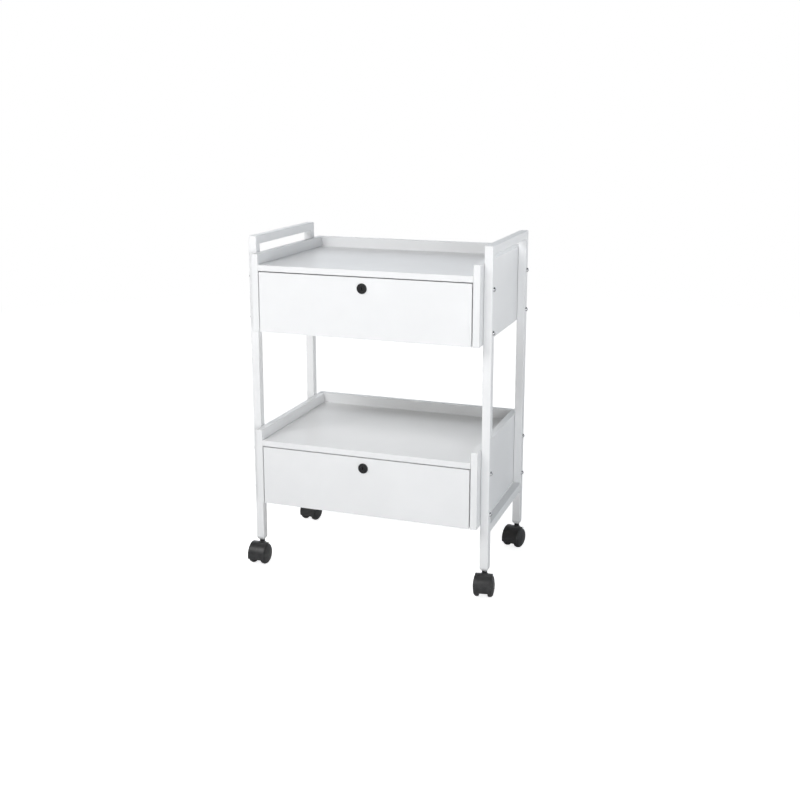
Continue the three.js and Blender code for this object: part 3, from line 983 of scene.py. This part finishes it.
def end_plug(bottom, top, tube):
    """The plug in a leg's foot: a chamfered square head, a ribbed insert and a bore for the stem."""
    head_top = bottom + PLUG_HEAD["top"]
    corner, edge = PLUG_HEAD["corner"], PLUG_HEAD["edge"]
    insert = tube - 2 * TUBE_WALL - PLUG_PLAY
    root = insert - PLUG_RIBS["depth"]
    sections = [(bottom + height, side, rounding) for height, side, rounding in PLUG_FOOT]
    sections += [
        (bottom + PLUG_HEAD["start"], tube, corner), (head_top - edge, tube, corner),
        (head_top, tube - 2 * edge, corner - edge), (head_top, root, INSERT_CORNER),
    ]
    for number in range(PLUG_RIBS["count"]):
        low = head_top + PLUG_RIBS["first"] + number * PLUG_RIBS["pitch"]
        sections += [
            (low, root, INSERT_CORNER), (low + PLUG_RIBS["flank"], insert, INSERT_CORNER),
            (low + PLUG_RIBS["length"], root, INSERT_CORNER),
        ]
    sections.append((top, insert - 2 * PLUG_RIBS["depth"], INSERT_CORNER))
    bore = STEM_RADIUS + STEM_PLAY
    sides = 96
    turns = [math.tau * (k + 0.5) / sides for k in range(sides)]
    rings = []
    for z, side, corner in sections:
        ring = []
        for turn in turns:
            reach = square_reach(turn, side, corner)
            ring.append((reach * math.cos(turn), reach * math.sin(turn), z))
        rings.append(ring)
    for z in (top, bottom):
        rings.append([(bore * math.cos(turn), bore * math.sin(turn), z) for turn in turns])
    bm = bmesh.new()
    skin(bm, rings, closed=True)
    return bm


def stem_pin(bottom, top):
    """The steel stem about Z, with chamfered ends and the groove of its grip ring."""
    groove = bottom + (top - bottom) * GRIP_GROOVE["share"]
    width, flank = GRIP_GROOVE["width"], GRIP_GROOVE["flank"]
    root = STEM_RADIUS - GRIP_GROOVE["depth"]
    end_radius = STEM_RADIUS - STEM_CHAMFER
    return lathe([
        (0, bottom), (end_radius, bottom), (STEM_RADIUS, bottom + STEM_CHAMFER),
        (STEM_RADIUS, groove), (root, groove + flank), (root, groove + width - flank),
        (STEM_RADIUS, groove + width), (STEM_RADIUS, top - STEM_CHAMFER), (end_radius, top),
        (0, top),
    ], sides=40)


def ring_sector(inner, outer, start, end, half, edge, crown=0.0):
    """A sector of a ring about X with rounded edges. Angles run from -Y up towards +Z."""
    across, steps, turns, least_corner = 10, 48, 4, 0.05

    def section(inset):
        side = half - inset
        corner = max(edge - inset, least_corner)
        high = outer - inset
        crest = [
            (side * share, high - crown * share ** 2, 0)
            for share in (2 * k / across - 1 for k in range(1, across))
        ]
        return rounded_path([
            (-side, inner + inset, corner), (-side, high - crown, corner), *crest,
            (side, high - crown, corner), (side, inner + inset, corner),
        ], steps=3, closed=True)

    rounding = [math.pi / 2 * turn / turns for turn in range(turns + 1)]
    ends = [(edge * (1 - math.cos(angle)) / outer, edge * (1 - math.sin(angle))) for angle in rounding]
    first, last = math.radians(start), math.radians(end)
    low, high = first + ends[-1][0], last - ends[-1][0]
    stations = [(first + along, inset) for along, inset in ends]
    stations += [(low + (high - low) * step / steps, 0.0) for step in range(1, steps)]
    stations += [(last - along, inset) for along, inset in reversed(ends)]
    bm = bmesh.new()
    skin(bm, [
        [(x, -radius * math.cos(angle), radius * math.sin(angle)) for x, radius in section(inset)]
        for angle, inset in stations
    ])
    return bm


def caster_hood(trail, axle_height):
    """The moulded hood: curved fender, web between the wheels, boss and neck, with its two bores."""
    axle = Matrix.Translation((0, -trail, axle_height))
    along_x = axle @ Matrix.Rotation(math.pi / 2, 4, "Y")
    radius, start, end = FENDER["radius"], FENDER["start"], FENDER["end"]
    body = ring_sector(
        radius - FENDER["thickness"], radius, start, end, FENDER["half"], FENDER["edge"],
        FENDER["crown"],
    )
    web = ring_sector(
        CORE_RADIUS - WEB["overlap"], radius - WEB["cover"], start + WEB["turn"],
        end - WEB["turn"], CORE_HALF - WEB["step"], WEB["edge"],
    )
    hub = lathe(rounded_path([
        (0, -CORE_HALF, 0), (CORE_RADIUS, -CORE_HALF, CORE_EDGE),
        (CORE_RADIUS, CORE_HALF, CORE_EDGE), (0, CORE_HALF, 0),
    ]))
    foot, shoulder, neck, rim = BOSS_CORNERS
    boss_radius = CORE_HALF - BOSS_STEP
    boss = lathe(rounded_path([
        (0, BOSS_BOTTOM, 0), (boss_radius, BOSS_BOTTOM, foot), (boss_radius, BOSS_TOP, shoulder),
        (NECK_RADIUS, BOSS_TOP, neck), (NECK_RADIUS, NECK_TOP, rim), (0, NECK_TOP, 0),
    ]))
    bmesh.ops.transform(hub, matrix=Matrix.Rotation(math.pi / 2, 4, "Y"), verts=hub.verts)
    body = combined(body, web, "UNION")
    body = combined(body, hub, "UNION")
    bmesh.ops.transform(body, matrix=axle, verts=body.verts)
    body = combined(body, boss, "UNION")
    body = combined(body, pin(STEM_RADIUS + STEM_PLAY, *STEM_BORE))
    axle_cut = pin(AXLE_RADIUS + AXLE_PLAY, -AXLE_BORE_HALF, AXLE_BORE_HALF)
    bmesh.ops.transform(axle_cut, matrix=along_x, verts=axle_cut.verts)
    return combined(body, axle_cut)


def pin(radius, bottom, top):
    """A plain round pin about Z, which cuts a bore."""
    return lathe([(0, bottom), (radius, bottom), (radius, top), (0, top)], sides=48)


def caster_wheel(radius):
    """A wheel about Z: ribbed inside, with a crowned tread and a domed outer face."""
    bore = AXLE_RADIUS + AXLE_PLAY
    inner = WHEEL_INNER
    mouth, hub, web, rim, shoulder = WHEEL_CORNERS
    points = rounded_path([
        (0, WHEEL_BORE_END, 0), (bore, WHEEL_BORE_END, mouth), (bore, inner, mouth),
        (WHEEL_HUB["end"], inner, hub), (WHEEL_HUB["root"], WHEEL_WEB, web),
        (WHEEL_RIM["root"], WHEEL_WEB, web), (WHEEL_RIM["end"], inner, rim),
        (WHEEL_RIM["shoulder"], inner, shoulder),
        *((radius, along, corner) for along, corner in WHEEL_TREAD),
        *WHEEL_FACE, (0, WHEEL_DOME, 0),
    ])
    ribs = WHEEL_RIBS
    spokes = bmesh.new()
    for number in range(ribs["count"]):
        rib = block(
            (ribs["start"], -ribs["half"], inner + ribs["recess"]),
            (ribs["end"], ribs["half"], WHEEL_WEB + ribs["overlap"]),
        )
        merge(spokes, rib, Matrix.Rotation(math.tau * number / ribs["count"], 4, "Z"))
    return combined(lathe(points, sides=96), spokes, "UNION")


def add_casters():
    """The four casters, which share one hood shape and one wheel shape."""
    axle_height = joints[f"{PLACES[0]}_roll_r"]["pos_m"][2] / MM
    trail = caster_trail(PLACES[0])
    hood = caster_hood(trail, axle_height)
    wheel = caster_wheel(axle_height)
    for place_name in PLACES:
        add_caster(place_name, hood, wheel)
    hood.free()
    wheel.free()


def caster_trail(place_name):
    """How far a caster's axle stands in front of its swivel, in millimetres."""
    axle = Vector(joints[f"{place_name}_roll_r"]["pos_m"]) / MM
    pivot = Vector(joints[f"{place_name}_swivel"]["pos_m"]) / MM
    return (axle.xy - pivot.xy).length


def add_caster(place_name, hood_shape, wheel_shape):
    """One caster with its leg plug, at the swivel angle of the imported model."""
    swivel = joints[f"{place_name}_swivel"]
    roll = joints[f"{place_name}_roll_r"]
    pivot = Vector(swivel["pos_m"]) / MM
    axle = Vector(roll["pos_m"]) / MM
    turn = math.atan2(roll["axis"][1], roll["axis"][0])
    upright = Matrix.Translation((pivot.x, pivot.y, 0))
    turned = upright @ Matrix.Rotation(turn, 4, "Z")
    along_x = turned @ Matrix.Translation((0, -caster_trail(place_name), axle.z))

    plug = f"{place_name}_end_plug"
    low, high = box_mm(plug)
    add_piece(
        f"{place_name}_leg_plug", end_plug(low.z, high.z, high.x - low.x), PLASTIC, plug,
        upright, replaces=[plug],
    )
    stem = f"{place_name}_caster_stem"
    low, high = box_mm(stem)
    add_piece(
        f"{place_name}_stem_pin", stem_pin(low.z, high.z), ZINC, stem, upright,
        replaces=[stem],
    )
    hood = f"{place_name}_caster_hood"
    add_piece(
        f"{place_name}_hood_moulding", hood_shape.copy(), NYLON, hood, turned,
        replaces=[hood],
    )
    rod = f"{place_name}_caster_axle"
    add_piece(
        f"{place_name}_axle_rod", axle_rod(), ZINC, rod,
        along_x @ Matrix.Rotation(math.pi / 2, 4, "Y"), replaces=[rod],
    )
    for side_name, side in SIDES.items():
        wheel = f"{place_name}_caster_{side_name}_wheel"
        add_piece(
            f"{place_name}_{side_name}_wheel_moulding", wheel_shape.copy(), TREAD_NYLON, wheel,
            along_x @ Matrix.Rotation(side * math.pi / 2, 4, "Y"), replaces=[wheel],
        )


def axle_rod():
    """The steel axle about Z, with chamfered ends."""
    end_radius = AXLE_RADIUS - AXLE_CHAMFER
    flank = AXLE_HALF - AXLE_CHAMFER
    return lathe([
        (0, -AXLE_HALF), (end_radius, -AXLE_HALF), (AXLE_RADIUS, -flank),
        (AXLE_RADIUS, flank), (end_radius, AXLE_HALF), (0, AXLE_HALF),
    ], sides=32)


# ---------------------------------------- stage, light and camera


def camera_only(tree, seen, unseen):
    """One value for what the camera sees directly, and another for the light that it gives."""
    path = tree.nodes.new("ShaderNodeLightPath")
    return blended(tree, path.outputs["Is Camera Ray"], unseen, seen)


def add_floor():
    """A wide pale floor that fades into the white background."""
    bm = bmesh.new()
    bmesh.ops.create_circle(bm, cap_ends=True, segments=FLOOR_SIDES, radius=FLOOR_RADIUS)
    mesh = bpy.data.meshes.new("floor")
    bm.to_mesh(mesh)
    bm.free()
    floor = bpy.data.objects.new("floor", mesh)
    scene.collection.objects.link(floor)
    material, tree, shader = new_material(
        "pale_floor", (0.86, 0.86, 0.86), 0.9, Specular_IOR_Level=0.0,
    )
    distance = tree.nodes.new("ShaderNodeVectorMath")
    distance.operation = "LENGTH"
    coordinates = tree.nodes.new("ShaderNodeTexCoord")
    tree.links.new(coordinates.outputs["Object"], distance.inputs[0])
    fade_start, fade_end = FLOOR_FADE
    far = between(tree, distance.outputs["Value"], start=fade_start, end=fade_end)
    glow = tree.nodes.new("ShaderNodeEmission")
    fade = tree.nodes.new("ShaderNodeMixShader")
    output = tree.nodes["Material Output"]
    tree.links.new(far, fade.inputs["Fac"])
    tree.links.new(shader.outputs["BSDF"], fade.inputs[1])
    tree.links.new(glow.outputs["Emission"], fade.inputs[2])
    tree.links.new(fade.outputs["Shader"], output.inputs["Surface"])
    seen = camera_only(tree, FLOOR_GLOW, (0.0, 0.0, 0.0))
    tree.links.new(seen, shader.inputs["Emission Color"])
    shader.inputs["Emission Strength"].default_value = 1.0
    mesh.materials.append(material)


def add_world():
    """White all round for the camera. As light it is a dim grey room with a bright backdrop."""
    world = bpy.data.worlds.new("studio")
    scene.world = world
    world.use_nodes = True
    tree = world.node_tree
    background = tree.nodes["Background"]
    coordinates = tree.nodes.new("ShaderNodeTexCoord")
    split = tree.nodes.new("ShaderNodeSeparateXYZ")
    tree.links.new(coordinates.outputs["Generated"], split.inputs["Vector"])
    behind = between(tree, split.outputs["Y"], 0, 1, *BACKDROP_BEHIND)
    low = between(tree, split.outputs["Z"], 1, 0, *BACKDROP_HEIGHT)
    lit = blended(tree, added(tree, behind, low, "MULTIPLY"), ROOM, BACKDROP)
    tree.links.new(camera_only(tree, (1.0, 1.0, 1.0), lit), background.inputs["Color"])


def add_area_light(name, place, size, power, colour):
    """A soft square lamp that points at the trolley's middle and that the camera doesn't see."""
    data = bpy.data.lights.new(name, "AREA")
    data.size = size
    data.energy = power
    data.color = colour
    lamp = bpy.data.objects.new(name, data)
    lamp.location = place
    aim = Vector(LAMP_AIM) - Vector(place)
    lamp.rotation_euler = aim.to_track_quat("-Z", "Y").to_euler()
    lamp.visible_camera = False
    scene.collection.objects.link(lamp)


def add_camera():
    """The photograph's view."""
    data = bpy.data.cameras.new("camera")
    data.sensor_width = CAMERA_SENSOR
    data.lens = CAMERA_FOCAL
    data.shift_y = CAMERA_SHIFT
    camera = bpy.data.objects.new("camera", data)
    camera.location = CAMERA_PLACE
    camera.rotation_euler = (math.radians(90 - CAMERA_PITCH), 0, math.radians(CAMERA_YAW))
    scene.collection.objects.link(camera)
    scene.camera = camera


add_camera()
add_world()
add_floor()
for lamp in LAMPS:
    add_area_light(*lamp)
scene.view_settings.view_transform = "Standard"

for side_name, side in SIDES.items():
    add_side_frame(side_name, side)
for level in LEVELS:
    add_boards(level)
    add_lock(level)
    for side_name, side in SIDES.items():
        for kind in ("cabinet", "drawer"):
            add_rail(level, side_name, side, kind)
add_casters()
